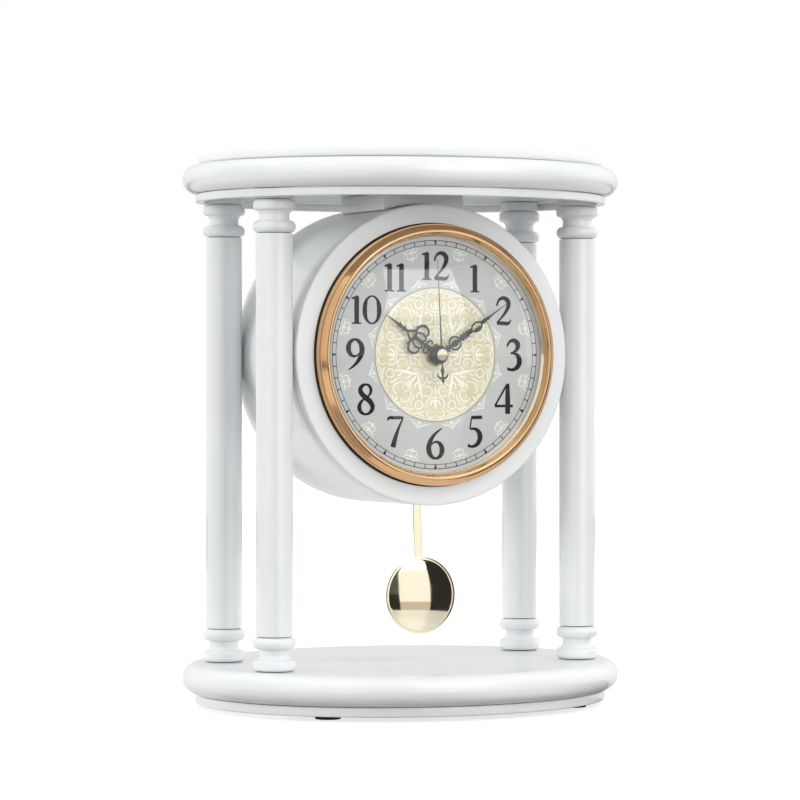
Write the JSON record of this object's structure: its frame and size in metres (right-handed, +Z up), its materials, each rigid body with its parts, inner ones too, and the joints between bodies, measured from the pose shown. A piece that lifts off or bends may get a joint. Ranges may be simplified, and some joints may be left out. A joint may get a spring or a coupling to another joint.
{
  "type": "table clock",
  "caption": "Table clock with an oval base and top joined by turned columns, a round drum with a domed dial, and a swinging pendulum.",
  "frame": {"origin": "centre of the footprint, on the surface that the clock stands on", "axes": "+Z up, -Y out of the dial towards the reader, +X to the reader's right"},
  "size_m": [0.2864, 0.2506, 0.35],
  "materials": {
    "white_lacquer": "white gloss lacquer over wood board",
    "rose_gold": "rose-gold metal, satin with a polished crest",
    "pale_brass": "polished pale brass",
    "dark_hands": "dark blue-grey paint",
    "satin_dial": "silver-grey satin print",
    "clear_glass": "clear polished glass",
    "steel": "plain zinc-plated steel",
    "black_plastic": "black moulded plastic",
    "white_plastic": "white moulded plastic",
    "black_foam": "black foam pad",
    "battery_wrap": "plain glossy wrap",
    "board_green": "green solder mask",
    "copper_wire": "enamelled copper wire"
  },
  "bodies": {
    "stand": {"base_board": "white_lacquer", "base_plinth": "white_lacquer", "foot_pad_front_left": "black_foam", "foot_pad_front_right": "black_foam", "foot_pad_back_left": "black_foam", "foot_pad_back_right": "black_foam", "column_base_front_left": "white_lacquer", "column_base_front_right": "white_lacquer", "column_base_back_left": "white_lacquer", "column_base_back_right": "white_lacquer", "column_shaft_front_left": "white_lacquer", "column_shaft_front_right": "white_lacquer", "column_shaft_back_left": "white_lacquer", "column_shaft_back_right": "white_lacquer", "column_capital_front_left": "white_lacquer", "column_capital_front_right": "white_lacquer", "column_capital_back_left": "white_lacquer", "column_capital_back_right": "white_lacquer", "top_spacer_front_left": "white_lacquer", "top_spacer_front_right": "white_lacquer", "top_spacer_back_left": "white_lacquer", "top_spacer_back_right": "white_lacquer", "column_tie_rod_front_left": "steel", "column_tie_rod_front_right": "steel", "column_tie_rod_back_left": "steel", "column_tie_rod_back_right": "steel", "top_lip": "white_lacquer", "top_board": "white_lacquer", "top_cover": "white_lacquer", "drum_mount_block": "white_lacquer", "drum_shell": "white_lacquer", "front_panel": "white_lacquer", "drum_screw_front": "steel", "drum_screw_back": "steel", "dial": "satin_dial", "sight_ring": "rose_gold", "lens": "clear_glass", "bezel": "rose_gold", "shaft_nut": "pale_brass", "movement_case": "black_plastic", "movement_cover": "black_plastic", "battery_contact_positive": "steel", "battery_contact_negative": "steel", "circuit_board": "board_green", "drive_coil": "copper_wire", "pendulum_pin": "steel"},
    "minute_train": {"minute_arbor": "pale_brass", "minute_hand": "dark_hands"},
    "hour_train": {"hour_wheel": "pale_brass", "hour_hand": "dark_hands"},
    "setting_train": {"minute_wheel": "white_plastic", "setting_knob": "black_plastic"},
    "second_train": {"second_wheel": "pale_brass", "second_hand": "dark_hands", "second_hand_cap": "pale_brass"},
    "pendulum": {"pendulum_lever": "white_plastic", "pendulum_rod": "pale_brass", "pendulum_bob": "pale_brass"},
    "battery_cell": {"battery": "battery_wrap"},
    "drum_back": {"back_cover": "white_lacquer"}
  },
  "joints": [
    {"name": "minute_turn", "type": "hinge", "parent": "stand", "child": "minute_train", "pos_m": [0, -0.045, 0.2237], "axis": [0, 1, 0], "continuous": true},
    {"name": "hour_turn", "type": "hinge", "parent": "stand", "child": "hour_train", "pos_m": [0, -0.045, 0.2237], "axis": [0, 1, 0], "continuous": true},
    {"name": "setting_turn", "type": "hinge", "parent": "stand", "child": "setting_train", "pos_m": [0.01, -0.03, 0.2237], "axis": [0, 1, 0], "continuous": true},
    {"name": "second_turn", "type": "hinge", "parent": "stand", "child": "second_train", "pos_m": [0, -0.045, 0.2237], "axis": [0, 1, 0], "continuous": true},
    {"name": "pendulum_swing", "type": "hinge", "parent": "stand", "child": "pendulum", "pos_m": [0, -0.0227, 0.18495], "axis": [0, 1, 0], "range_deg": [-6, 10]},
    {"name": "battery_slide", "type": "slide", "parent": "stand", "child": "battery_cell", "axis": [0, 1, 0], "range_m": [0, 0.05]},
    {"name": "back_cover_slide", "type": "slide", "parent": "stand", "child": "drum_back", "axis": [0, 1, 0], "range_m": [0, 0.04]}
  ],
  "couplings": [
    {"joint": "hour_turn", "follows": "minute_turn", "ratio": 0.083333},
    {"joint": "setting_turn", "follows": "minute_turn", "ratio": -0.33333}
  ]
}
